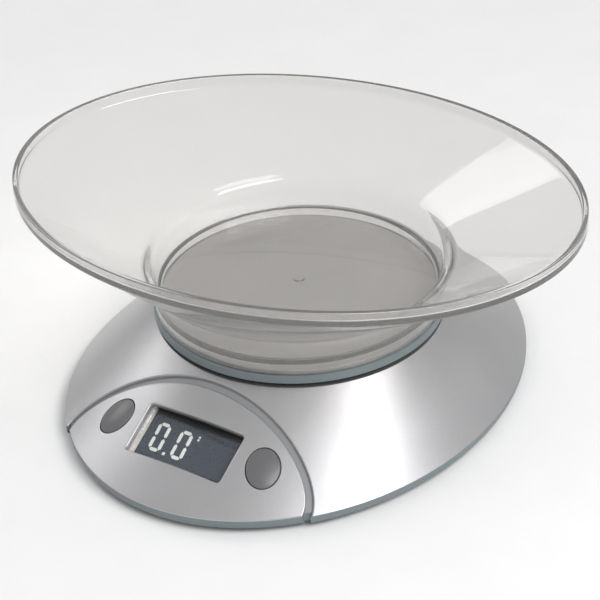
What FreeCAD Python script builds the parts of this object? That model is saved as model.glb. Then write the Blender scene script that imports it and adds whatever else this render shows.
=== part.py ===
"""Kitchen scale with a lift-off clear bowl, an oval silver housing and a sloping display panel.

Units are millimetres, +Z is up, the display faces -Y. The origin is on the table under the
centre of the oval base.
"""

import FreeCAD
import Part
import math
import os

from FreeCAD import Placement, Rotation, Vector

# Housing
FOOT_HEIGHT = 2.0  # the pan's underside stands this high
PAN_FLOOR_TOP = 4.0
PAN_TOP = 6.5  # seam between the pan and the cover
PAN_WALL = 4.0
PAN_ROUND = 2.4
BASE_X = 93.2  # half width of the oval base
BASE_Y = 114.7  # half depth of the oval base
COVER_TOP = 36.0
COVER_WALL = 3.0  # measured straight down

# Platform, bowl and the axis they share
AXIS_Y = 3.1
COVER_TOP_R = 62.0
PLATFORM_R = 62.5
PLATFORM_BOTTOM = 38.5
PLATFORM_TOP = 42.0
LOCATOR_R = 59.0
LOCATOR_HEIGHT = 1.2
BOWL_WALL = 2.4
BOWL_FOOT_R = 62.0
BOWL_WELL_BOTTOM = 47.8
BOWL_WELL_TOP = 59.7
BOWL_LIP_BOTTOM = 89.8
BOWL_TOP = 96.0
BOWL_RIM_X = 123.9  # half length of the oval rim
BOWL_RIM_Y = 92.8  # half width of the oval rim
BOWL_YAW = 8.2  # turn of the oval rim about the axis, degrees

# Control panel, bounded by a curved groove
GROOVE_A = 61.0
GROOVE_B = 28.0
GROOVE_Y = -89.0
GROOVE_WIDTH = 3.0
PANEL_DEPTH = 1.8  # measured straight down
EDGE_ROUND = 0.6  # of the panel, the cover beside it and the window
PANEL_SETBACK = 1.0
PANEL_RUN = BASE_Y + AXIS_Y - COVER_TOP_R
PANEL_SLOPE = math.degrees(math.atan2(COVER_TOP - PAN_TOP, PANEL_RUN))

# Display, in the panel's own frame: u across, v up the slope, n out of the panel
WINDOW_Y = -86.4
WINDOW_Z = PAN_TOP + (BASE_Y + WINDOW_Y) * math.tan(math.radians(PANEL_SLOPE))
WINDOW_U = 46.2
WINDOW_V = 22.6
WINDOW_CORNER = 1.5
LEDGE_N = -6.8  # top of the ledge that carries the window
LCD_N = -7.4
BEZEL_BOTTOM_N = -9.6
RETAINER_N = -10.4
BOARD_N = -13.0
BOARD_THICKNESS = 1.2
BOARD_U = 46.0
BOARD_V = (-6.0, 20.0)
BOARD_BOSSES = ((-22.0, 17.0), (22.0, 17.0))

# Buttons, in the panel's frame
BUTTON_U = 36.1
BUTTON_V = 1.9
BUTTON_LONG = 17.5
BUTTON_SHORT = 13.5
BUTTON_LEAN = 19.0
BUTTON_PROUD = 1.0
BUTTON_ROUND = 2.4
BUTTON_GAP = 0.4
BUTTON_FLANGE = 1.4
SWITCH_TOP_N = -11.2
PLUNGER_TOP_N = -10.5

# Weighing mechanism
BEAM_LENGTH = 80.0
BEAM_SIDE = 12.7
BEAM_BOTTOM = 10.0
BEAM_TOP = BEAM_BOTTOM + BEAM_SIDE
BEAM_HOLES = (25.0, 35.0)  # distance of the screw holes from mid-beam
CARRIER_BOTTOM = 25.0
CARRIER_TOP = 28.0
POST_OFFSET = 24.0
POST_R = 5.0
POST_SPOTS = [(x, AXIS_Y + y) for x in (-POST_OFFSET, POST_OFFSET) for y in (-POST_OFFSET, POST_OFFSET)]

# Underside
FOOT_SPOTS = [(x, y) for x in (-58.0, 58.0) for y in (-74.0, 74.0)]
FOOT_R = 6.0
SCREW_SPOTS = [(-66.0, -40.0), (66.0, -40.0), (-66.0, 40.0), (66.0, 40.0), (0.0, 101.0)]
BOSS_SEAM = 8.0

# Battery bay
BAY_X = 27.0
BAY_Y = (52.3, 75.7)
BAY_TOP = 15.4
CELL_R = 5.25
CELL_LENGTH = 44.5
CELL_Z = 9.6
CELL_Y = (58.0, 70.0)
CONTACT_X = 26.6
DOOR_X = 29.5
DOOR_END_Y = 78.0
DOOR_TOP = 3.6
HINGE_Y = 50.0
HINGE_Z = 2.8

PANEL_FRAME = Placement(Vector(0, WINDOW_Y, WINDOW_Z), Rotation(Vector(1, 0, 0), PANEL_SLOPE))


# Shared shapes


def box(x, y, z):
    """Box between the low and high values of each pair."""
    corner = Vector(x[0], y[0], z[0])
    return Part.makeBox(x[1] - x[0], y[1] - y[0], z[1] - z[0], corner)


def cylinder(x, y, z, radius):
    """Upright cylinder at (x, y) between the two heights in z."""
    return Part.makeCylinder(radius, z[1] - z[0], Vector(x, y, z[0]))


def oval(long_r, short_r, yaw, y, z):
    """Flat oval wire whose long axis and seam point along yaw."""
    if long_r == short_r:
        curve = Part.Circle(Vector(0, 0, 0), Vector(0, 0, 1), long_r)
    else:
        curve = Part.Ellipse(Vector(0, 0, 0), long_r, short_r)
    wire = Part.Wire([curve.toShape()])
    wire.rotate(Vector(0, 0, 0), Vector(0, 0, 1), yaw)
    wire.translate(Vector(0, y, z))
    return wire


def prism(wire, height):
    """Upright solid on a flat wire."""
    return Part.Face(wire).extrude(Vector(0, 0, height))


def base_oval(inset, z):
    """Solid of the base's oval outline, drawn in by inset, between the two heights."""
    return prism(oval(BASE_Y - inset, BASE_X - inset, 90, 0, z[0]), z[1] - z[0])


def dome(drop):
    """Solid under the housing's outer surface, lowered by drop."""
    edge = oval(BASE_Y, BASE_X, 90, 0, PAN_TOP)
    crown = oval(COVER_TOP_R, COVER_TOP_R, 90, AXIS_Y, COVER_TOP)
    solid = Part.makeLoft([edge, crown], True, True)
    solid.translate(Vector(0, 0, -drop))
    return solid


def panel_outline(inset):
    """Tall solid over the control panel, drawn in from the groove's outer edge by inset."""
    arch = prism(oval(GROOVE_A - inset, GROOVE_B - inset, 0, GROOVE_Y, 0), COVER_TOP + 4)
    half = GROOVE_A - inset
    skirt = box((-half, half), (-BASE_Y - 10, GROOVE_Y), (0, COVER_TOP + 4))
    return arch.fuse(skirt)


def on_panel(shape):
    """Moves a shape drawn in u, v, n onto the panel."""
    shape.Placement = PANEL_FRAME.multiply(shape.Placement)
    return shape


def window_prism(grow, n):
    """Rounded rectangle of the window's size plus grow all round, between two depths."""
    half_u = WINDOW_U / 2 + grow
    half_v = WINDOW_V / 2 + grow
    block = box((-half_u, half_u), (-half_v, half_v), n)
    upright = [e for e in block.Edges if abs(e.tangentAt(e.FirstParameter).z) > 0.9]
    return on_panel(block.makeFillet(WINDOW_CORNER + max(grow, 0), upright))


def button_prism(side, grow, n):
    """Oval column of a button, plus grow all round; side is -1 for the left one."""
    wire = oval(BUTTON_LONG / 2 + grow, BUTTON_SHORT / 2 + grow, 90 + side * BUTTON_LEAN, 0, n[0])
    wire.translate(Vector(side * BUTTON_U, BUTTON_V, 0))
    return on_panel(prism(wire, n[1] - n[0]))


def panel_openings():
    """Window and button holes through the front of the housing."""
    cuts = [window_prism(0, (-12, 8))]
    for side in (-1, 1):
        cuts.append(button_prism(side, BUTTON_GAP, (-16, 8)))
    return cuts


def screw(x, y, head_bottom, head, shaft_top, shaft_r):
    """Pan-head screw driven upwards; head is (radius, height)."""
    body = cylinder(x, y, (head_bottom, head_bottom + head[1]), head[0])
    body = body.fuse(cylinder(x, y, (head_bottom + head[1], shaft_top), shaft_r))
    slot = head[0] * 0.6
    cross = box((x - slot, x + slot), (y - 0.3, y + 0.3), (head_bottom, head_bottom + 0.5))
    turned = cross.copy()
    turned.rotate(Vector(x, y, 0), Vector(0, 0, 1), 90)
    return body.cut(cross.fuse(turned))


def lead(points, radius, bend):
    """Round wire through the points, with a tangent arc at each corner."""
    pieces = []
    start = points[0]
    for before, corner, after in zip(points, points[1:], points[2:]):
        into = (corner - before).normalize()
        out = (after - corner).normalize()
        turn = into.getAngle(out)
        reach = bend * math.tan(turn / 2)
        first = corner - into * reach
        last = corner + out * reach
        middle = (out - into).normalize()
        centre = corner + middle * (bend / math.cos(turn / 2))
        pieces.append(Part.makeLine(start, first))
        pieces.append(Part.Arc(first, centre - middle * bend, last).toShape())
        start = last
    pieces.append(Part.makeLine(start, points[-1]))
    path = Part.Wire(pieces)
    ring = Part.Wire([Part.makeCircle(radius, points[0], points[1] - points[0])])
    return path.makePipeShell([ring], True, False)


# Bowl


def bowl_outside():
    foot = cylinder(0, AXIS_Y, (PLATFORM_TOP, BOWL_WELL_BOTTOM), BOWL_FOOT_R)
    well_r = BOWL_FOOT_R + BOWL_WALL
    well = Part.makeCone(
        BOWL_FOOT_R, well_r, BOWL_WELL_TOP - BOWL_WELL_BOTTOM, Vector(0, AXIS_Y, BOWL_WELL_BOTTOM)
    )
    low = oval(well_r, well_r, BOWL_YAW, AXIS_Y, BOWL_WELL_TOP)
    high = oval(BOWL_RIM_X, BOWL_RIM_Y, BOWL_YAW, AXIS_Y, BOWL_LIP_BOTTOM)
    flare = Part.makeLoft([low, high], True, True)
    lip = prism(high, BOWL_TOP - BOWL_LIP_BOTTOM)
    return foot.fuse([well, flare, lip])


def bowl_inside():
    floor_r = BOWL_FOOT_R - BOWL_WALL
    floor_z = BOWL_WELL_BOTTOM + 0.9
    well_z = BOWL_WELL_TOP + 1.0
    well = Part.makeCone(floor_r, BOWL_FOOT_R, well_z - floor_z, Vector(0, AXIS_Y, floor_z))
    low = oval(BOWL_FOOT_R, BOWL_FOOT_R, BOWL_YAW, AXIS_Y, well_z)
    high = oval(
        BOWL_RIM_X - BOWL_WALL, BOWL_RIM_Y - BOWL_WALL, BOWL_YAW, AXIS_Y, BOWL_LIP_BOTTOM + 1.8
    )
    flare = Part.makeLoft([low, high], True, True)
    mouth = prism(high, BOWL_TOP)
    return well.fuse([flare, mouth])


def bowl():
    under_floor = cylinder(0, AXIS_Y, (PLATFORM_TOP, BOWL_WELL_BOTTOM - 1.4), BOWL_FOOT_R - 2.2)
    gate_mark = cylinder(0, AXIS_Y, (BOWL_WELL_BOTTOM, BOWL_WELL_BOTTOM + 1.4), 2.5)
    return bowl_outside().cut(bowl_inside()).cut(under_floor).fuse(gate_mark)


# Platform and what carries it


def platform():
    plate = cylinder(0, AXIS_Y, (PLATFORM_BOTTOM, PLATFORM_TOP), PLATFORM_R)
    hollow = cylinder(0, AXIS_Y, (PLATFORM_BOTTOM, PLATFORM_TOP - 1.8), PLATFORM_R - 2)
    tray = plate.cut(hollow)
    holes = []
    for x, y in POST_SPOTS:
        tray = tray.fuse(cylinder(x, y, (CARRIER_TOP, PLATFORM_TOP - 1), POST_R))
        holes.append(cylinder(x, y, (CARRIER_TOP, CARRIER_TOP + 9), 1.3))
    return tray.cut(holes)


def platform_plate():
    """Raised disc that the bowl's foot drops over."""
    disc = cylinder(0, AXIS_Y, (PLATFORM_TOP, PLATFORM_TOP + LOCATOR_HEIGHT), LOCATOR_R)
    rim = [e for e in disc.Edges if e.CenterOfMass.z > PLATFORM_TOP + 1]
    return disc.makeFillet(0.4, rim)


def carrier():
    """Spider plate inside the housing, screwed to the platform's posts and to the load beam."""
    hub = cylinder(0, AXIS_Y, (CARRIER_BOTTOM, CARRIER_TOP), 18)
    reach = math.hypot(POST_OFFSET, POST_OFFSET)
    arms = []
    for angle in (45, 135):
        arm = box((-reach, reach), (-7, 7), (CARRIER_BOTTOM, CARRIER_TOP))
        arm.rotate(Vector(0, 0, 0), Vector(0, 0, 1), angle)
        arm.translate(Vector(0, AXIS_Y, 0))
        arms.append(arm)
    for x, y in POST_SPOTS:
        arms.append(cylinder(x, y, (CARRIER_BOTTOM, CARRIER_TOP), 7))
    nose_y = AXIS_Y - BEAM_LENGTH / 2 - 1
    arms.append(box((-9, 9), (nose_y, AXIS_Y), (CARRIER_BOTTOM, CARRIER_TOP)))
    holes = [cylinder(x, y, (CARRIER_BOTTOM, CARRIER_TOP), 1.6) for x, y in POST_SPOTS]
    for distance in BEAM_HOLES:
        holes.append(cylinder(0, AXIS_Y - distance, (CARRIER_BOTTOM, CARRIER_TOP), 2.1))
    return hub.fuse(arms).cut(holes)


def carrier_screws():
    return [screw(x, y, CARRIER_BOTTOM - 2, (2.8, 2.0), CARRIER_TOP + 8, 1.25) for x, y in POST_SPOTS]


def load_spacer():
    end = AXIS_Y - BEAM_LENGTH / 2
    block = box((-7, 7), (end, end + 20), (BEAM_TOP, CARRIER_BOTTOM))
    holes = [cylinder(0, AXIS_Y - d, (BEAM_TOP, CARRIER_BOTTOM), 2.1) for d in BEAM_HOLES]
    return block.cut(holes)


def beam_top_screws():
    screws = []
    for distance in BEAM_HOLES:
        y = AXIS_Y - distance
        shaft = cylinder(0, y, (BEAM_BOTTOM + 4, CARRIER_TOP), 1.75)
        head = cylinder(0, y, (CARRIER_TOP, CARRIER_TOP + 2.4), 3.5)
        socket = cylinder(0, y, (CARRIER_TOP + 1, CARRIER_TOP + 2.4), 1.6)
        screws.append(shaft.fuse(head).cut(socket))
    return screws


# Load cell


def load_beam():
    """Aluminium bar thinned by a double round hole across its middle."""
    half = BEAM_SIDE / 2
    bar = box((-half, half), (AXIS_Y - BEAM_LENGTH / 2, AXIS_Y + BEAM_LENGTH / 2), (BEAM_BOTTOM, BEAM_TOP))
    middle = BEAM_BOTTOM + half
    cuts = [box((-half, half), (AXIS_Y - 7, AXIS_Y + 7), (middle - 1.5, middle + 1.5))]
    for offset in (-7, 7):
        start = Vector(-half, AXIS_Y + offset, middle)
        cuts.append(Part.makeCylinder(5, BEAM_SIDE, start, Vector(1, 0, 0)))
    for side in (-1, 1):
        for distance in BEAM_HOLES:
            cuts.append(cylinder(0, AXIS_Y + side * distance, (BEAM_BOTTOM, BEAM_TOP), 1.8))
    return bar.cut(cuts)


def strain_gauges():
    pads = []
    for z in (BEAM_BOTTOM - 0.4, BEAM_TOP):
        for offset in (-7, 7):
            y = AXIS_Y + offset
            pads.append(box((-4, 4), (y - 4, y + 4), (z, z + 0.4)))
    return pads


def gauge_potting():
    side = -BEAM_SIDE / 2
    return box((side - 2, side), (-4, 10), (BEAM_BOTTOM + 1, BEAM_TOP - 1.7))


def beam_base_screws():
    return [screw(0, AXIS_Y + d, 2.8, (3.5, 2.2), BEAM_TOP - 4, 1.75) for d in BEAM_HOLES]


def overload_stop():
    y = AXIS_Y - BEAM_LENGTH / 2 + 6
    return cylinder(0, y, (PAN_FLOOR_TOP, BEAM_BOTTOM - 0.7), 2.0)


# Pan


def pan_outside(inset):
    """Outer form of the pan, drawn in by inset and rounded at its lower edge."""
    form = base_oval(inset, (FOOT_HEIGHT, PAN_TOP))
    low = [e for e in form.Edges if abs(e.CenterOfMass.z - FOOT_HEIGHT) < 0.01]
    return form.makeFillet(PAN_ROUND, low)


def pan_shell():
    """Tray, set back under the panel and notched where each end of the groove runs out."""
    shell = pan_outside(0).cut(panel_outline(0))
    shell = shell.fuse(pan_outside(PANEL_SETBACK).common(panel_outline(GROOVE_WIDTH)))
    shell = shell.fuse(pan_outside(2).common(panel_outline(0)))
    return shell.cut(base_oval(PAN_WALL, (PAN_FLOOR_TOP, PAN_TOP)))


def beam_pedestal():
    end = AXIS_Y + BEAM_LENGTH / 2
    return box((-8, 8), (end - 20, end + 1), (FOOT_HEIGHT + 1, BEAM_BOTTOM))


def battery_bay_walls():
    y = (HINGE_Y - 3, DOOR_END_Y + 2)
    return box((-BAY_X - 4.4, BAY_X + 4.4), y, (DOOR_TOP + 0.1, BAY_TOP + 1.6))


def battery_bay_cuts():
    bay = box((-BAY_X, BAY_X), BAY_Y, (0, BAY_TOP))
    seat_y = (HINGE_Y - 1.3, DOOR_END_Y + 0.3)
    door_seat = box((-DOOR_X - 0.3, DOOR_X + 0.3), seat_y, (0, DOOR_TOP + 0.1))
    sockets = Part.makeCylinder(0.56, 62.4, Vector(-31.2, HINGE_Y, HINGE_Z), Vector(1, 0, 0))
    finger = cylinder(0, DOOR_END_Y + 2, (0, FOOT_HEIGHT + 1), 8)
    slots = [box((CONTACT_X, BAY_X), (y - 1.7, y + 1.7), (0, BAY_TOP + 2)) for y in CELL_Y]
    return [bay, door_seat, sockets, finger] + slots


def base_pan():
    pan = pan_shell()
    cuts = battery_bay_cuts()
    added = [beam_pedestal(), battery_bay_walls()]
    stop_y = AXIS_Y - BEAM_LENGTH / 2 + 6
    added.append(cylinder(0, stop_y, (PAN_FLOOR_TOP - 1, PAN_FLOOR_TOP + 3), 4))
    cuts.append(cylinder(0, stop_y, (PAN_FLOOR_TOP, PAN_FLOOR_TOP + 3), 2.0))
    for distance in BEAM_HOLES:
        y = AXIS_Y + distance
        cuts.append(cylinder(0, y, (0, 5), 4.0))
        cuts.append(cylinder(0, y, (0, BEAM_BOTTOM), 2.1))
    for x, y in SCREW_SPOTS:
        added.append(cylinder(x, y, (PAN_FLOOR_TOP - 1, BOSS_SEAM), 4.6))
        cuts.append(cylinder(x, y, (0, 5), 3.2))
        cuts.append(cylinder(x, y, (0, BOSS_SEAM), 1.7))
    for x, y in FOOT_SPOTS:
        cuts.append(cylinder(x, y, (0, FOOT_HEIGHT + 1), FOOT_R))
    cuts.append(box((-22, 22), (-60, -34), (0, FOOT_HEIGHT + 0.2)))
    return pan.fuse(added).cut(cuts)


def rubber_feet():
    feet = []
    for x, y in FOOT_SPOTS:
        foot = cylinder(x, y, (0, FOOT_HEIGHT + 1), FOOT_R)
        low = [e for e in foot.Edges if e.CenterOfMass.z < 0.01]
        feet.append(foot.makeFillet(0.6, low))
    return feet


def rating_label():
    return box((-21.9, 21.9), (-59.9, -34.1), (FOOT_HEIGHT + 0.05, FOOT_HEIGHT + 0.2))


def housing_screws():
    return [screw(x, y, 3.2, (2.8, 1.8), 14.0 if x else 11.0, 1.2) for x, y in SCREW_SPOTS]


# Cover and control panel


def rounded_along(shape, outline, shortest):
    """Rounds the edges of the upper skin that follow an outline, leaving out short ends."""
    found = []
    for edge in shape.Edges:
        middle = Part.Vertex(edge.valueAt((edge.FirstParameter + edge.LastParameter) / 2))
        gaps = [solid.Shells[0].distToShape(middle)[0] for solid in (outline, dome(0))]
        if max(gaps) < 0.01 and edge.Length > shortest:
            found.append(edge)
    return shape.makeFillet(EDGE_ROUND, found)


def top_cover():
    """Silver shell with an arched cut-out for the control panel."""
    cover = dome(0).cut(dome(COVER_WALL))
    bosses = [cylinder(x, y, (BOSS_SEAM, COVER_TOP), 3.6) for x, y in SCREW_SPOTS]
    under = dome(COVER_WALL - 1)
    cover = cover.fuse([boss.common(under) for boss in bosses])
    cuts = [panel_outline(0)]
    for x, y in POST_SPOTS:
        cuts.append(cylinder(x, y, (COVER_TOP - 5, COVER_TOP), POST_R + 1.5))
    for x, y in SCREW_SPOTS:
        cuts.append(cylinder(x, y, (BOSS_SEAM, 15.0 if x else 11.5), 1.25))
    return rounded_along(cover.cut(cuts), panel_outline(0), 10)


def panel_frame():
    """Seat of the control panel: floor of the groove, with posts for the circuit board."""
    frame = dome(PANEL_DEPTH).cut(dome(COVER_WALL)).common(panel_outline(0))
    lip = dome(COVER_WALL).cut(dome(COVER_WALL + 1.5))
    lip = lip.common(panel_outline(-2).cut(panel_outline(2)))
    posts = [on_panel(cylinder(u, v, (BOARD_N, 6), 2.6)) for u, v in BOARD_BOSSES]
    under = dome(PANEL_DEPTH + 0.5)
    frame = frame.fuse([lip] + [post.common(under) for post in posts])
    cuts = panel_openings()
    for u, v in BOARD_BOSSES:
        cuts.append(on_panel(cylinder(u, v, (BOARD_N, BOARD_N + 6), 0.95)))
    above_pan = box((-BASE_X, BASE_X), (-BASE_Y, 0), (PAN_TOP, COVER_TOP))
    return frame.cut(cuts).common(above_pan)


def control_panel():
    """Silver skin inside the groove, rounded along the groove and round the window."""
    layer = dome(0).cut(dome(PANEL_DEPTH))
    outline = panel_outline(GROOVE_WIDTH)
    sheet = layer.common(outline).common(base_oval(PANEL_SETBACK, (0, COVER_TOP)))
    sheet = rounded_along(sheet.cut(panel_openings()), outline, 10)
    return rounded_along(sheet, window_prism(0, (-12, 8)), 1)


# Display


def display_bezel():
    """Dark well between the cover and the liquid-crystal glass, with a ledge for the window."""
    body = window_prism(2.0, (BEZEL_BOTTOM_N, 4)).common(dome(COVER_WALL))
    well = window_prism(0, (LEDGE_N, 6))
    view = window_prism(-1.9, (BEZEL_BOTTOM_N, 0))
    pocket = window_prism(-0.2, (BEZEL_BOTTOM_N - 1, LCD_N))
    return body.cut([well, view, pocket])


def display_window():
    return window_prism(-0.15, (LEDGE_N, LEDGE_N + 1.2))


def lcd_glass():
    return window_prism(-0.4, (BEZEL_BOTTOM_N, LCD_N))


def lcd_retainer():
    plate = box((-24.5, 24.5), (-13, 8), (RETAINER_N, BEZEL_BOTTOM_N))
    legs = [cylinder(u, -3, (BOARD_N, RETAINER_N), 1.5) for u in (-21, 21)]
    return on_panel(plate.fuse(legs))


def zebra_strip():
    return on_panel(box((-18, 18), (8.4, 10.6), (BOARD_N, BEZEL_BOTTOM_N)))


# Circuit board


def main_board():
    bottom = BOARD_N - BOARD_THICKNESS
    board = box((-BOARD_U, BOARD_U), BOARD_V, (bottom, BOARD_N))
    holes = [cylinder(u, v, (bottom, BOARD_N), 1.2) for u, v in BOARD_BOSSES]
    return on_panel(board.cut(holes))


def board_screws():
    low = BOARD_N - BOARD_THICKNESS - 1.3
    return [on_panel(screw(u, v, low, (2.0, 1.3), BOARD_N + 5, 0.85)) for u, v in BOARD_BOSSES]


def controller_chip():
    """Domed resin cap over the controller."""
    low = BOARD_N - BOARD_THICKNESS
    cap = cylinder(0, 5, (low - 2, low), 6.5)
    edge = [e for e in cap.Edges if abs(e.CenterOfMass.z - low + 2) < 0.01]
    return on_panel(cap.makeFillet(1.5, edge))


def converter_chip():
    low = BOARD_N - BOARD_THICKNESS
    return on_panel(box((-31, -21), (4, 8), (low - 1.7, low)))


def board_capacitors():
    low = BOARD_N - BOARD_THICKNESS
    return [on_panel(cylinder(u, 6, (low - 4.5, low), 2.0)) for u in (20, 26)]


def lead_sockets():
    low = BOARD_N - BOARD_THICKNESS
    return [on_panel(box((u - 5, u + 5), (12, 18), (low - 4, low))) for u in (-12, 12)]


def switch_body(side):
    u = side * BUTTON_U
    body = box((u - 3, u + 3), (BUTTON_V - 3, BUTTON_V + 3), (BOARD_N, SWITCH_TOP_N))
    bore = cylinder(u, BUTTON_V, (BOARD_N + 0.2, SWITCH_TOP_N), 1.65)
    return on_panel(body.cut(bore))


def switch_plunger(side):
    return on_panel(cylinder(side * BUTTON_U, BUTTON_V, (SWITCH_TOP_N - 0.6, PLUNGER_TOP_N), 1.6))


def button(side):
    """Domed oval cap with a flange that keeps it under the cover and a stem to its switch."""
    flange_drop = COVER_WALL + 0.35
    cap = button_prism(side, 0, (-16, 8)).common(dome(-BUTTON_PROUD))
    top = max(cap.Edges, key=lambda e: e.CenterOfMass.z)
    cap = cap.makeFillet(BUTTON_ROUND, [top]).cut(dome(flange_drop + 1.1))
    flange = button_prism(side, BUTTON_FLANGE, (-16, 8)).common(dome(flange_drop))
    flange = flange.cut(dome(flange_drop + 1.1))
    stem = on_panel(cylinder(side * BUTTON_U, BUTTON_V, (PLUNGER_TOP_N, -7), 1.5))
    return cap.fuse([flange, stem])


# Batteries


def battery_cells():
    cells = []
    for y, way in zip(CELL_Y, (1, -1)):
        axis = Vector(way, 0, 0)
        start = Vector(way * (CONTACT_X - CELL_LENGTH), y, CELL_Z)
        can = Part.makeCylinder(CELL_R, CELL_LENGTH - 1.2, start, axis)
        nub = Part.makeCylinder(1.9, 1.2, start + axis * (CELL_LENGTH - 1.2), axis)
        cells.append(can.fuse(nub))
    return cells


def battery_contacts():
    low = CELL_Z - 4.5
    high = CELL_Z + 4.5
    plates = [box((-BAY_X, -CONTACT_X), (CELL_Y[0] - 4.5, CELL_Y[1] + 4.5), (low, high))]
    for y in CELL_Y:
        plate = box((CONTACT_X, BAY_X), (y - 4.5, y + 4.5), (low, high))
        tab = box((CONTACT_X, BAY_X), (y - 1.5, y + 1.5), (high, BAY_TOP + 4.6))
        plates.append(plate.fuse(tab))
    return plates


def battery_springs():
    springs = []
    wire_r = 0.35
    length = 2 * CONTACT_X - CELL_LENGTH - 2 * wire_r - 0.1
    for y, way in zip(CELL_Y, (1, -1)):
        helix = Part.makeHelix(length / 5, length, 2.4, 10)
        ring = Part.Wire([Part.makeCircle(wire_r, Vector(2.4, 0, 0), Vector(0, 1, 0))])
        coil = Part.Wire(helix.Edges).makePipeShell([ring], True, True)
        coil.rotate(Vector(0, 0, 0), Vector(0, 1, 0), -way * 90)
        tip = way * (CONTACT_X - CELL_LENGTH - wire_r - 0.05)
        coil.translate(Vector(tip, y, CELL_Z))
        springs.append(coil)
    return springs


def battery_door():
    width = 2 * DOOR_X
    plate = box((-DOOR_X, DOOR_X), (HINGE_Y, DOOR_END_Y), (FOOT_HEIGHT, DOOR_TOP))
    start = Vector(-DOOR_X, HINGE_Y, HINGE_Z)
    barrel = Part.makeCylinder(0.8, width, start, Vector(1, 0, 0))
    pin = Part.makeCylinder(0.5, width + 3, start - Vector(1.5, 0, 0), Vector(1, 0, 0))
    return plate.fuse([barrel, pin])


# Leads


def socket_way(u):
    """Point on a lead socket's mouth and a point straight out of it."""
    depth = BOARD_N - BOARD_THICKNESS - 2
    mouth = PANEL_FRAME.multVec(Vector(u, 18, depth))
    return mouth, PANEL_FRAME.multVec(Vector(u, 26, depth))


def sensor_leads():
    x = -BEAM_SIDE / 2 - 1
    leads = []
    for i in range(4):
        z = BEAM_BOTTOM + 3 + 1.6 * i
        mouth, ahead = socket_way(-15 + 2 * i)
        points = [Vector(x, -4, z), Vector(x, -40, z), ahead, mouth]
        leads.append(lead(points, 0.5, 3))
    return leads


def battery_leads():
    leads = []
    for i, y in enumerate(CELL_Y):
        mouth, ahead = socket_way(10.5 + 3 * i)
        top = BAY_TOP + 3.5
        points = [
            Vector(CONTACT_X, y, top),
            Vector(17 - 3 * i, y, top),
            Vector(17 - 3 * i, HINGE_Y - 5, top),
            Vector(14 - 2 * i, HINGE_Y - 14, 12 + 1.5 * i),
            Vector(14 - 2 * i, -42, 12 + 1.5 * i),
            ahead,
            mouth,
        ]
        leads.append(lead(points, 0.6, 3))
    return leads


def parts():
    """Every sub-part by node name."""
    return {
        "bowl": bowl(),
        "platform": platform(),
        "platform_plate": platform_plate(),
        "carrier": carrier(),
        "carrier_screws": carrier_screws(),
        "load_spacer": load_spacer(),
        "beam_top_screws": beam_top_screws(),
        "load_beam": load_beam(),
        "strain_gauges": strain_gauges(),
        "gauge_potting": gauge_potting(),
        "beam_base_screws": beam_base_screws(),
        "overload_stop": overload_stop(),
        "base_pan": base_pan(),
        "rubber_feet": rubber_feet(),
        "rating_label": rating_label(),
        "housing_screws": housing_screws(),
        "top_cover": top_cover(),
        "panel_frame": panel_frame(),
        "control_panel": control_panel(),
        "display_bezel": display_bezel(),
        "display_window": display_window(),
        "lcd_glass": lcd_glass(),
        "lcd_retainer": lcd_retainer(),
        "zebra_strip": zebra_strip(),
        "main_board": main_board(),
        "board_screws": board_screws(),
        "controller_chip": controller_chip(),
        "converter_chip": converter_chip(),
        "board_capacitors": board_capacitors(),
        "lead_sockets": lead_sockets(),
        "mode_switch": switch_body(-1),
        "power_switch": switch_body(1),
        "mode_plunger": switch_plunger(-1),
        "power_plunger": switch_plunger(1),
        "mode_button": button(-1),
        "power_button": button(1),
        "battery_cells": battery_cells(),
        "battery_contacts": battery_contacts(),
        "battery_springs": battery_springs(),
        "battery_door": battery_door(),
        "sensor_leads": sensor_leads(),
        "battery_leads": battery_leads(),
    }


def write(node, shape):
    """Writes a sub-part; a list becomes a group of separate solids."""
    if isinstance(shape, list):
        shape = Part.makeCompound(shape)
    solids = shape.Solids
    shape = solids[0] if len(solids) == 1 else Part.makeCompound(solids)
    shape.exportStep("parts/" + node + ".step")
    print(f"{node}: {len(solids)} solids, {sum(s.Volume for s in solids):.0f} mm3")


os.makedirs("parts", exist_ok=True)
for node, shape in parts().items():
    write(node, shape)
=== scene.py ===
"""Kitchen scale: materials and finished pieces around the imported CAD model, in metres."""

import math

import bpy
from mathutils import Matrix, Vector
from mathutils.bvhtree import BVHTree


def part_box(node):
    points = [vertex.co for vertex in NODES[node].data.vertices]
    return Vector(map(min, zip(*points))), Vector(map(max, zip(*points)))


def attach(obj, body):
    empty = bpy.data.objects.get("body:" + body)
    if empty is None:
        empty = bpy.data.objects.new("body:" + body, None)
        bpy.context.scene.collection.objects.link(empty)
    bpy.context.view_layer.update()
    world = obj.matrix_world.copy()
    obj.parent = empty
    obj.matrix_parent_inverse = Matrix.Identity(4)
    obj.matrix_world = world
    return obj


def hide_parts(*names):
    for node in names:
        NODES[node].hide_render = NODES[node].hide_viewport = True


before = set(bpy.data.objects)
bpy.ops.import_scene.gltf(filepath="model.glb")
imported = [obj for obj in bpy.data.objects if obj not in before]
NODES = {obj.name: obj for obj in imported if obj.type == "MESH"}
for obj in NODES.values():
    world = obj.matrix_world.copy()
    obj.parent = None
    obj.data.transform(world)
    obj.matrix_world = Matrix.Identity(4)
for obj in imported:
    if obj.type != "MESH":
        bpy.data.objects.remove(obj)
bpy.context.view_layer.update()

MM = 0.001
PAINTED_LIGHT_SIDE_X = 0.0213  # painted light: the bezel's side walls are painted pale outside this distance from the middle, as if lamp light falls on them; metres
PAINTED_LIGHT_BLEND = 0.0002


# ---------------------------------------------------------------- materials


def new_material(name):
    made = bpy.data.materials.new(name)
    made.use_nodes = True
    return made, made.node_tree, made.node_tree.nodes["Principled BSDF"]


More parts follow.
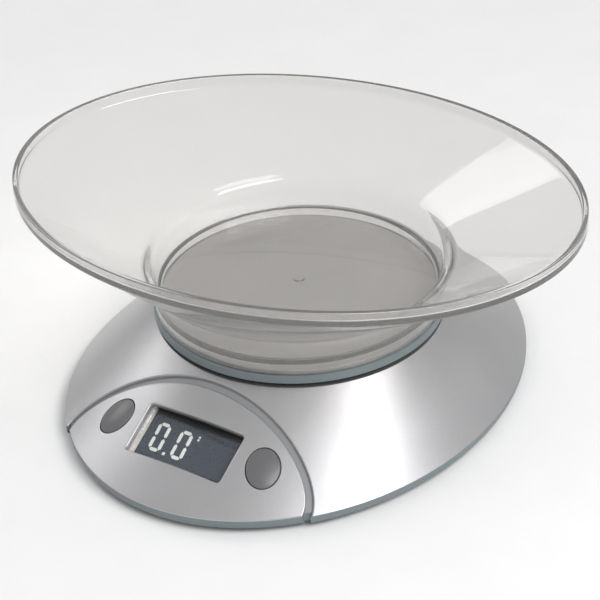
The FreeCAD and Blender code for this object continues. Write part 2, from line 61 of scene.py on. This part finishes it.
def object_coords(tree, stretch=(1, 1, 1)):
    coords = tree.nodes.new("ShaderNodeTexCoord")
    mapping = tree.nodes.new("ShaderNodeMapping")
    mapping.inputs["Scale"].default_value = stretch
    tree.links.new(coords.outputs["Object"], mapping.inputs["Vector"])
    return mapping.outputs["Vector"]


def noise(tree, vector, scale, detail=3.0, rough=0.55):
    node = tree.nodes.new("ShaderNodeTexNoise")
    node.inputs["Scale"].default_value = scale
    node.inputs["Detail"].default_value = detail
    node.inputs["Roughness"].default_value = rough
    tree.links.new(vector, node.inputs["Vector"])
    return node.outputs["Fac"]


def spread(tree, value, low, high, start=0.3, end=0.7):
    node = tree.nodes.new("ShaderNodeMapRange")
    node.inputs["From Min"].default_value = start
    node.inputs["From Max"].default_value = end
    node.inputs["To Min"].default_value = low
    node.inputs["To Max"].default_value = high
    tree.links.new(value, node.inputs["Value"])
    return node.outputs["Result"]


def two_tone(tree, value, dark, light, start=0.3, end=0.7):
    ramp = tree.nodes.new("ShaderNodeValToRGB")
    ramp.color_ramp.elements[0].position = start
    ramp.color_ramp.elements[1].position = end
    ramp.color_ramp.elements[0].color = (*dark, 1)
    ramp.color_ramp.elements[1].color = (*light, 1)
    tree.links.new(value, ramp.inputs["Fac"])
    return ramp.outputs["Color"]


def bump(tree, height, strength, distance):
    node = tree.nodes.new("ShaderNodeBump")
    node.inputs["Strength"].default_value = strength
    node.inputs["Distance"].default_value = distance
    tree.links.new(height, node.inputs["Height"])
    return node.outputs["Normal"]


def shaded(colour, amount):
    return tuple(min(1.0, c * amount) for c in colour)


def moulded(
    name, colour, rough, grain=1800, depth=0.12, metal=0.0, coat=0.0, vary=0.05, stretch=(1, 1, 1)
):
    """Moulded or painted surface: slow tone drift, fine grain, uneven gloss."""
    made, tree, shader = new_material(name)
    vector = object_coords(tree, stretch)
    slow = noise(tree, vector, 35, 2)
    fine = noise(tree, vector, grain, 4)
    tone = two_tone(tree, slow, shaded(colour, 1 - vary), shaded(colour, 1 + vary))
    tree.links.new(tone, shader.inputs["Base Color"])
    tree.links.new(spread(tree, fine, rough - 0.05, rough + 0.06), shader.inputs["Roughness"])
    tree.links.new(bump(tree, fine, depth, 0.00006), shader.inputs["Normal"])
    shader.inputs["Metallic"].default_value = metal
    shader.inputs["Coat Weight"].default_value = coat
    shader.inputs["Coat Roughness"].default_value = 0.15
    return made


def silver_paint(name, colour, rough):
    """Metallic lacquer: tiny flakes under a thin satin coat."""
    made, tree, shader = new_material(name)
    vector = object_coords(tree)
    flakes = tree.nodes.new("ShaderNodeTexVoronoi")
    flakes.inputs["Scale"].default_value = 3200
    tree.links.new(vector, flakes.inputs["Vector"])
    to_grey = tree.nodes.new("ShaderNodeRGBToBW")
    tree.links.new(flakes.outputs["Color"], to_grey.inputs["Color"])
    slow = noise(tree, vector, 22, 2)
    mix = tree.nodes.new("ShaderNodeMath")
    mix.operation = "MULTIPLY_ADD"
    mix.inputs[1].default_value = 0.25
    tree.links.new(to_grey.outputs["Val"], mix.inputs[0])
    tree.links.new(slow, mix.inputs[2])
    tone = two_tone(tree, mix.outputs["Value"], shaded(colour, 0.93), shaded(colour, 1.05), 0.4, 0.9)
    tree.links.new(tone, shader.inputs["Base Color"])
    fine = noise(tree, vector, 1500, 4)
    tree.links.new(spread(tree, fine, rough - 0.04, rough + 0.05), shader.inputs["Roughness"])
    tree.links.new(bump(tree, to_grey.outputs["Val"], 0.05, 0.00003), shader.inputs["Normal"])
    shader.inputs["Metallic"].default_value = 0.75
    shader.inputs["Coat Weight"].default_value = 0.15
    shader.inputs["Coat Roughness"].default_value = 0.25
    return made


def brushed(name, colour, rough, along=(8, 1200, 1200)):
    made, tree, shader = new_material(name)
    vector = object_coords(tree, along)
    lines = noise(tree, vector, 1.0, 5, 0.7)
    tone = two_tone(tree, lines, shaded(colour, 0.85), shaded(colour, 1.08))
    tree.links.new(tone, shader.inputs["Base Color"])
    tree.links.new(spread(tree, lines, rough - 0.08, rough + 0.1), shader.inputs["Roughness"])
    tree.links.new(bump(tree, lines, 0.15, 0.00003), shader.inputs["Normal"])
    shader.inputs["Metallic"].default_value = 1.0
    return made


def clear_plastic(name, tint, ior, rough, clarity):
    """See-through moulding; lamps pass through it, so that it doesn't throw a solid shadow."""
    made, tree, shader = new_material(name)
    vector = object_coords(tree)
    fine = noise(tree, vector, 60, 2)
    tree.links.new(spread(tree, fine, rough * 0.6, rough * 1.6), shader.inputs["Roughness"])
    shader.inputs["Base Color"].default_value = (*tint, 1)
    shader.inputs["IOR"].default_value = ior
    shader.inputs["Transmission Weight"].default_value = clarity
    path = tree.nodes.new("ShaderNodeLightPath")
    lamps = tree.nodes.new("ShaderNodeBsdfTransparent")
    lamps.inputs["Color"].default_value = (*shaded(tint, 0.97), 1)
    mix = tree.nodes.new("ShaderNodeMixShader")
    tree.links.new(path.outputs["Is Shadow Ray"], mix.inputs["Fac"])
    tree.links.new(shader.outputs["BSDF"], mix.inputs[1])
    tree.links.new(lamps.outputs["BSDF"], mix.inputs[2])
    tree.links.new(mix.outputs["Shader"], tree.nodes["Material Output"].inputs["Surface"])
    return made


def bezel_painted_light(name):
    """Black frame whose two side walls are painted pale, a painted light standing for the lamp
    falling on them; split by distance across the display.
    """
    made = moulded(name, (0.012, 0.012, 0.013), 0.4, 1500, 0.12)
    tree = made.node_tree
    shader = tree.nodes["Principled BSDF"]
    vector = object_coords(tree)
    split = tree.nodes.new("ShaderNodeSeparateXYZ")
    tree.links.new(vector, split.inputs["Vector"])
    size = tree.nodes.new("ShaderNodeMath")
    size.operation = "ABSOLUTE"
    tree.links.new(split.outputs["X"], size.inputs[0])
    # painted light: this mask picks out the side walls, which get the pale painted light
    side = spread(tree, size.outputs["Value"], 0.0, 1.0, PAINTED_LIGHT_SIDE_X, PAINTED_LIGHT_SIDE_X + PAINTED_LIGHT_BLEND)
    mix = tree.nodes.new("ShaderNodeMix")
    mix.data_type = "RGBA"
    first, second = 6, 7  # places of the two colour inputs among the node's sockets
    black = shader.inputs["Base Color"].links[0].from_socket
    painted_lit_wall = two_tone(tree, noise(tree, vector, 300, 3), (0.52, 0.50, 0.47), (0.60, 0.58, 0.55))
    tree.links.new(side, mix.inputs["Factor"])
    tree.links.new(black, mix.inputs[first])
    tree.links.new(painted_lit_wall, mix.inputs[second])
    tree.links.new(mix.outputs[2], shader.inputs["Base Color"])
    return made


SILVER = silver_paint("silver_paint", (0.47, 0.465, 0.475), 0.37)
# painted reflection: this grey-green is given as the plastic's colour, and it also stands for the
# dark surroundings reflected in the steep walls of the pan and the platform rim
GREY_GREEN_PAINTED_REFLECTION = moulded("grey_green_painted_reflection", (0.17, 0.205, 0.215), 0.42, 1400, 0.18)
GROOVE = moulded("groove_plastic", (0.25, 0.26, 0.27), 0.36, 1400, 0.15)
PLATE = moulded("plate_plastic", (0.30, 0.29, 0.285), 0.45, 1500, 0.2)
CLEAR = clear_plastic("clear_plastic", (0.835, 0.828, 0.818), 1.47, 0.02, 0.93)
WINDOW = clear_plastic("window_plastic", (0.97, 0.98, 0.98), 1.49, 0.02, 1.0)
BUTTON = moulded("button_plastic", (0.125, 0.125, 0.13), 0.36, 1600, 0.12, coat=0.15)
# bezel with painted light on its side walls
BEZEL_PAINTED_LIGHT = bezel_painted_light("bezel_painted_light")
BLACK = moulded("black_plastic", (0.012, 0.012, 0.013), 0.45, 1500, 0.15)
LCD = moulded("lcd_glass", (0.022, 0.032, 0.05), 0.3, 900, 0.005, vary=0.01)
RUBBER = moulded("foot_rubber", (0.03, 0.03, 0.03), 0.75, 2200, 0.3)
STEEL = brushed("plated_steel", (0.6, 0.6, 0.6), 0.32)
ALUMINIUM = brushed("machined_aluminium", (0.72, 0.73, 0.75), 0.34, (900, 12, 900))
WHITE = moulded("white_plastic", (0.72, 0.72, 0.70), 0.5, 1500, 0.12)
SILICONE = moulded("white_silicone", (0.75, 0.75, 0.72), 0.6, 700, 0.4)
FILM = moulded("gauge_film", (0.45, 0.22, 0.05), 0.35, 900, 0.2)
LABEL = moulded("label_film", (0.62, 0.63, 0.64), 0.35, 1200, 0.08, metal=0.4)
BOARD = moulded("solder_mask", (0.01, 0.10, 0.04), 0.3, 600, 0.2, coat=0.3)
RESIN = moulded("black_resin", (0.006, 0.006, 0.006), 0.12, 250, 0.15, coat=0.8)
CHIP = moulded("chip_case", (0.015, 0.015, 0.016), 0.6, 2400, 0.3)
SOCKET = moulded("socket_plastic", (0.72, 0.68, 0.55), 0.45, 1500, 0.1)
ZEBRA = moulded("zebra_rubber", (0.05, 0.05, 0.055), 0.6, 1, 0.2, stretch=(4000, 1, 1), vary=0.4)
CELL = moulded("cell_sleeve", (0.02, 0.025, 0.035), 0.25, 900, 0.08, coat=0.5)
NICKEL = brushed("nickel", (0.68, 0.66, 0.6), 0.25)
RED_LEAD = moulded("red_insulation", (0.35, 0.02, 0.015), 0.4, 1200, 0.12)
BLACK_LEAD = moulded("black_insulation", (0.012, 0.012, 0.012), 0.4, 1200, 0.12)
INK = moulded("display_segment", (0.62, 0.63, 0.60), 0.5, 900, 0.05)

FINISH = {
    # the pan and its battery door carry the grey-green painted reflection
    "base_pan": GREY_GREEN_PAINTED_REFLECTION,
    "battery_door": GREY_GREEN_PAINTED_REFLECTION,
    "rubber_feet": RUBBER,
    "rating_label": LABEL,
    "housing_screws": STEEL,
    "top_cover": SILVER,
    "control_panel": SILVER,
    "panel_frame": GROOVE,
    # the platform rim carries the grey-green painted reflection
    "platform": GREY_GREEN_PAINTED_REFLECTION,
    "platform_plate": PLATE,
    "carrier": STEEL,
    "carrier_screws": STEEL,
    "load_spacer": ALUMINIUM,
    "beam_top_screws": STEEL,
    "load_beam": ALUMINIUM,
    "strain_gauges": FILM,
    "gauge_potting": SILICONE,
    "beam_base_screws": STEEL,
    "overload_stop": STEEL,
    "display_bezel": BEZEL_PAINTED_LIGHT,
    "display_window": WINDOW,
    "lcd_glass": LCD,
    "lcd_retainer": WHITE,
    "zebra_strip": ZEBRA,
    "main_board": BOARD,
    "board_screws": STEEL,
    "controller_chip": RESIN,
    "converter_chip": CHIP,
    "board_capacitors": ALUMINIUM,
    "lead_sockets": SOCKET,
    "mode_switch": BLACK,
    "power_switch": BLACK,
    "mode_plunger": BLACK,
    "power_plunger": BLACK,
    "mode_button": BUTTON,
    "power_button": BUTTON,
    "battery_cells": CELL,
    "battery_contacts": NICKEL,
    "battery_springs": NICKEL,
    "sensor_leads": RED_LEAD,
    "battery_leads": BLACK_LEAD,
    "bowl": CLEAR,
}


def paint(piece, finish):
    piece.data.materials.clear()
    piece.data.materials.append(finish)


for node, finish in FINISH.items():
    paint(NODES[node], finish)


# ---------------------------------------------------------------- shared mesh work


def add_mesh(name, points, faces, finish, body):
    mesh = bpy.data.meshes.new(name)
    mesh.from_pydata(points, [], faces)
    mesh.validate()
    mesh.shade_smooth()
    piece = bpy.data.objects.new(name, mesh)
    bpy.context.scene.collection.objects.link(piece)
    paint(piece, finish)
    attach(piece, body)
    return piece


def shade_evenly(piece):
    modifier = piece.modifiers.new("even_shading", "WEIGHTED_NORMAL")
    modifier.keep_sharp = False


def rounded(stations, steps=4):
    """Profile stations (a, b, z, corner) with each corner replaced by a short curve."""
    made = []
    last = len(stations) - 1
    for i, (*spot, corner) in enumerate(stations):
        here = Vector(spot)
        if i in (0, last) or corner == 0:
            made.append(here)
            continue
        before = Vector(stations[i - 1][:3]) - here
        after = Vector(stations[i + 1][:3]) - here
        first = here + before.normalized() * corner
        final = here + after.normalized() * corner
        for k in range(steps + 1):
            t = k / steps
            made.append(first * (1 - t) ** 2 + here * 2 * t * (1 - t) + final * t * t)
    return made


def ring_solid(profile, segments, centre_y, yaw):
    """Closed skin of ovals; the first and last stations are closed by a point on the axis."""
    points = []
    faces = []
    turn = math.radians(yaw)
    for a, b, z in profile[1:-1]:
        for i in range(segments):
            angle = 2 * math.pi * i / segments
            u, v = a * math.cos(angle), b * math.sin(angle)
            x = u * math.cos(turn) - v * math.sin(turn)
            y = u * math.sin(turn) + v * math.cos(turn) + centre_y
            points.append((x * MM, y * MM, z * MM))
    rings = len(profile) - 2
    for r in range(rings - 1):
        for i in range(segments):
            j = (i + 1) % segments
            low, high = r * segments, (r + 1) * segments
            faces.append((low + i, low + j, high + j, high + i))
    for station, ring, flip in ((profile[0], 0, True), (profile[-1], rings - 1, False)):
        tip = len(points)
        points.append((0, centre_y * MM, station[2] * MM))
        for i in range(segments):
            j = (i + 1) % segments
            edge = (ring * segments + i, ring * segments + j)
            faces.append((edge[1], edge[0], tip) if flip else (edge[0], edge[1], tip))
    return points, faces


# ---------------------------------------------------------------- bowl

BOWL_LOW, BOWL_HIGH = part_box("bowl")
AXIS_Y = (BOWL_LOW.y + BOWL_HIGH.y) / 2 / MM
BOWL_BASE = BOWL_LOW.z / MM
BOWL_RIM_Z = BOWL_HIGH.z / MM
RIM_A, RIM_B = 123.9, 92.8
BOWL_YAW = 8.2
WALL = 2.4
FOOT_R = 62.0
BOWL_SEGMENTS = 192
RECESS_HEIGHT = 4.4  # hollow under the floor, inside the foot
RECESS_R = FOOT_R - 2.2
FLAT_R = 30  # ring between the middle and the edge of the flat floor
WELL_BOTTOM = 47.8
WELL_TOP = 59.7
LIP_BOTTOM = 89.8
FLOOR_Z = 48.7
INNER_WELL_TOP = 60.7
INNER_LIP_BOTTOM = 91.6
GATE_R, GATE_TOP_R = 2.5, 2.3
GATE_Z = 49.2
LIP_TAPER = 0.05  # the lip widens by this much towards the rim


def straight(start, end, count):
    """Stations between two stations, left out at both ends."""
    return [
        (*(start[k] + (end[k] - start[k]) * i / count for k in range(3)), 0) for i in range(1, count)
    ]


def bowl_profile():
    inner_a, inner_b = RIM_A - WALL, RIM_B - WALL
    foot_z = BOWL_BASE
    outer_neck = (FOOT_R + WALL, FOOT_R + WALL, WELL_TOP, 5.0)
    outer_edge = (RIM_A - LIP_TAPER, RIM_B - LIP_TAPER, LIP_BOTTOM, 0.8)
    inner_edge = (inner_a, inner_b, INNER_LIP_BOTTOM, 1.5)
    inner_neck = (FOOT_R, FOOT_R, INNER_WELL_TOP, 3.0)
    recess_z = foot_z + RECESS_HEIGHT
    return rounded(
        [
            (0, 0, recess_z, 0),
            (FLAT_R, FLAT_R, recess_z, 0),
            (RECESS_R, RECESS_R, recess_z, 0.5),
            (RECESS_R, RECESS_R, foot_z, 0.5),
            (FOOT_R, FOOT_R, foot_z, 0.5),
            (FOOT_R, FOOT_R, WELL_BOTTOM, 0.4),
            outer_neck,
            *straight(outer_neck, outer_edge, 8),
            outer_edge,
            (RIM_A, RIM_B, BOWL_RIM_Z, 0.9),
            (inner_a, inner_b, BOWL_RIM_Z, 0.9),
            inner_edge,
            *straight(inner_edge, inner_neck, 8),
            inner_neck,
            (FOOT_R - WALL, FOOT_R - WALL, FLOOR_Z, 2.2),
            (FLAT_R, FLAT_R, FLOOR_Z, 0),
            (GATE_R, GATE_R, FLOOR_Z, 0.15),
            (GATE_TOP_R, GATE_TOP_R, GATE_Z, 0.25),
            (0, 0, GATE_Z, 0),
        ]
    )


def make_bowl():
    points, faces = ring_solid(bowl_profile(), BOWL_SEGMENTS, AXIS_Y, BOWL_YAW)
    piece = add_mesh("clear_bowl", points, faces, CLEAR, "bowl")
    shade_evenly(piece)
    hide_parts("bowl")


make_bowl()


# ---------------------------------------------------------------- display figures

COVER_RISE, COVER_RUN = 29.5, 55.8  # of the housing's slope under the display
SLOPE = math.atan2(COVER_RISE, COVER_RUN)
SLOPE_V = Vector((0, math.cos(SLOPE), math.sin(SLOPE)))
SLOPE_N = Vector((0, -math.sin(SLOPE), math.cos(SLOPE)))
WINDOW_Y = -86.4
PAN_TOP = 6.5
FRONT_TO_WINDOW = 28.3
PANEL_CENTRE = Vector((0, WINDOW_Y, PAN_TOP + FRONT_TO_WINDOW * math.tan(SLOPE)))
LCD_N = -7.4
DIGIT_WIDE, DIGIT_TALL, STROKE = 4.6, 11.7, 1.5
DIGIT_LEAN = -0.03
DIGIT_GAP = 0.25  # between the ends of neighbouring bars
DIGIT_SPOTS = ((-14.5, 0.25), (-3.5, 0.05))
DOTS = ((-9.1, -5.9, 0.65), (2.3, 5.9, 0.45), (2.3, 4.6, 0.45))  # u, v, half width
FIGURE_LOW, FIGURE_HIGH = 0.02, 0.10  # above the glass


def on_panel(u, v, n):
    spot = PANEL_CENTRE + Vector((u, 0, 0)) + SLOPE_V * v + SLOPE_N * n
    return spot * MM


def segment(start, end, width):
    """Six-sided bar between two points, pointed at both ends."""
    along = (end - start).normalized()
    side = Vector((-along.y, along.x)) * width / 2
    near, far = start + along * width / 2, end - along * width / 2
    return [start, near - side, far - side, end, far + side, near + side]


def digit(centre_u, centre_v):
    """Bars of a nought."""
    w, h = DIGIT_WIDE / 2, DIGIT_TALL / 2
    corners = [Vector(c) for c in ((-w, -h), (w, -h), (w, 0), (w, h), (-w, h), (-w, 0))]
    bars = []
    for a, b in ((0, 1), (1, 2), (2, 3), (3, 4), (4, 5), (5, 0)):
        start, end = corners[a], corners[b]
        along = (end - start).normalized() * DIGIT_GAP
        bars.append(segment(start + along, end - along, STROKE))
    shifted = []
    for bar in bars:
        shifted.append([Vector((p.x + DIGIT_LEAN * p.y + centre_u, p.y + centre_v)) for p in bar])
    return shifted


def make_figures():
    shapes = [bar for spot in DIGIT_SPOTS for bar in digit(*spot)]
    for u, v, half in DOTS:
        corners = ((-half, -half), (half, -half), (half, half), (-half, half))
        shapes.append([Vector((u + x, v + y)) for x, y in corners])
    points, faces = [], []
    for shape in shapes:
        base = len(points)
        count = len(shape)
        for n in (LCD_N + FIGURE_LOW, LCD_N + FIGURE_HIGH):
            points += [on_panel(p.x, p.y, n) for p in shape]
        faces.append([base + count + i for i in range(count)])
        faces.append([base + i for i in reversed(range(count))])
        for i in range(count):
            j = (i + 1) % count
            faces.append([base + i, base + j, base + count + j, base + count + i])
    piece = add_mesh("display_figures", points, faces, INK, "housing")
    piece.data.shade_flat()


make_figures()


# ---------------------------------------------------------------- buttons

CAP_U, CAP_V = 36.1, 1.9
CAP_LONG, CAP_SHORT = 8.75, 6.75
CAP_LEAN = 19.0
CAP_RISE = 0.45  # crown above the middle of the plain cap
CAP_DROP = 1.25  # from the crown to the edge
CAP_SEGMENTS = 96
FLANGE = 1.4
FLANGE_HIGH, FLANGE_LOW = -3.85, -4.82  # below the plain cap's top
STEM_R = 1.5
STEM_END_N = -10.5
SAMPLE_STEP = 3.0  # from the middle to where the plain cap's slope is read
RAY_START_N = 20  # well above the panel
ROUNDING = 0.001  # tolerance when telling the flange from the stem


def height_finder(node):
    """Gives a function for the height n of a node's top at a spot (u, v) on the panel."""
    mesh = NODES[node].data
    tree = BVHTree.FromPolygons([v.co for v in mesh.vertices], [p.vertices for p in mesh.polygons])

    def height(u, v):
        hit = tree.ray_cast(on_panel(u, v, RAY_START_N), -SLOPE_N)[0]
        return (hit / MM - PANEL_CENTRE).dot(SLOPE_N)

    return height


def cap_profile(stem_end):
    """Stem, flange and domed cap of a button, as heights over the plain cap's top."""
    crown = []
    for t in (0.92, 0.84, 0.75, 0.65, 0.55, 0.45, 0.35, 0.25, 0.15, 0.05):
        crown.append((CAP_LONG * t, CAP_SHORT * t, CAP_RISE - CAP_DROP * t * t, 0))
    wide, tall = CAP_LONG + FLANGE, CAP_SHORT + FLANGE
    return rounded(
        [
            (0, 0, stem_end, 0),
            (STEM_R, STEM_R, stem_end, 0),
            (STEM_R, STEM_R, FLANGE_LOW, 0),
            (wide, tall, FLANGE_LOW, 0.2),
            (wide, tall, FLANGE_HIGH, 0.2),
            (CAP_LONG, CAP_SHORT, FLANGE_HIGH, 0),
            (CAP_LONG, CAP_SHORT, CAP_RISE - CAP_DROP, 0.4),
            *crown,
            (0, 0, CAP_RISE, 0),
        ]
    )


def make_button(side, node):
    """Domed button in place of the plain one; side is -1 for the left."""
    height = height_finder(node)
    centre_u = side * CAP_U
    middle = height(centre_u, CAP_V)

    def slope_along(step_u, step_v):
        ahead = height(centre_u + step_u, CAP_V + step_v)
        behind = height(centre_u - step_u, CAP_V - step_v)
        return (ahead - behind) / (2 * SAMPLE_STEP)

    rise_u = slope_along(SAMPLE_STEP, 0)
    rise_v = slope_along(0, SAMPLE_STEP)
    profile = cap_profile(STEM_END_N - middle)
    local, faces = ring_solid(profile, CAP_SEGMENTS, 0, 90 + side * CAP_LEAN)
    points = []
    for x, y, z in local:
        u, v, over = x / MM, y / MM, z / MM
        tilt = rise_u * u + rise_v * v if over >= FLANGE_LOW - ROUNDING else 0
        points.append(on_panel(centre_u + u, CAP_V + v, middle + over + tilt))
    piece = add_mesh(node + "_domed", points, faces, BUTTON, node)
    shade_evenly(piece)
    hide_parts(node)


make_button(-1, "mode_button")
make_button(1, "power_button")


# ---------------------------------------------------------------- studio


def make_floor():
    bpy.ops.mesh.primitive_plane_add(size=8, location=(0, 0, 0))
    floor = bpy.context.object
    floor.name = "studio_floor"
    paint(floor, moulded("floor_paper", (0.86, 0.86, 0.86), 0.7, 300, 0.05, vary=0.01))


def softbox(name, azimuth, elevation, distance, width, height, power):
    """Area lamp aimed at the object, placed by direction as the camera is."""
    a, e = math.radians(azimuth), math.radians(elevation)
    away = Vector((math.sin(a) * math.cos(e), -math.cos(a) * math.cos(e), math.sin(e)))
    lamp = bpy.data.lights.new(name, "AREA")
    lamp.shape = "RECTANGLE"
    lamp.size, lamp.size_y, lamp.energy = width, height, power
    holder = bpy.data.objects.new(name, lamp)
    holder.location = Vector((0, 0, 0.06)) + away * distance
    holder.rotation_euler = away.to_track_quat("Z", "Y").to_euler()
    bpy.context.scene.collection.objects.link(holder)


def make_studio():
    world = bpy.data.worlds.new("studio")
    world.use_nodes = True
    world.node_tree.nodes["Background"].inputs["Color"].default_value = (1, 1, 1, 1)
    world.node_tree.nodes["Background"].inputs["Strength"].default_value = 0.57
    bpy.context.scene.world = world
    softbox("right", 76, 48, 1.4, 1.0, 0.65, 14)
    softbox("left", -96, 34, 1.4, 0.6, 0.55, 2.4)
    bpy.context.scene.view_settings.view_transform = "Standard"
    bpy.context.scene.view_settings.look = "None"
    bpy.context.scene.cycles.max_bounces = 24
    bpy.context.scene.cycles.transmission_bounces = 24


CAMERA_AZIMUTH = math.radians(34.08)
CAMERA_ELEVATION = math.radians(33.39)
CAMERA_ROLL = math.radians(-2.81)
CAMERA_DISTANCE = 0.97826
CAMERA_TARGET = Vector((0, 0.00308, 0.03784))
CAMERA_LENS = 137.1


def make_camera():
    a, e, roll = CAMERA_AZIMUTH, CAMERA_ELEVATION, CAMERA_ROLL
    back = Vector((math.sin(a) * math.cos(e), -math.cos(a) * math.cos(e), math.sin(e)))
    right = Vector((math.cos(a), math.sin(a), 0))
    up = back.cross(right)
    turned_right = right * math.cos(roll) + up * math.sin(roll)
    turned_up = up * math.cos(roll) - right * math.sin(roll)
    place = Matrix((turned_right, turned_up, back)).transposed().to_4x4()
    place.translation = CAMERA_TARGET + back * CAMERA_DISTANCE
    data = bpy.data.cameras.new("camera")
    data.lens = CAMERA_LENS
    data.sensor_width = 36
    camera = bpy.data.objects.new("camera", data)
    camera.matrix_world = place
    bpy.context.scene.collection.objects.link(camera)
    bpy.context.scene.camera = camera


make_floor()
make_studio()
make_camera()
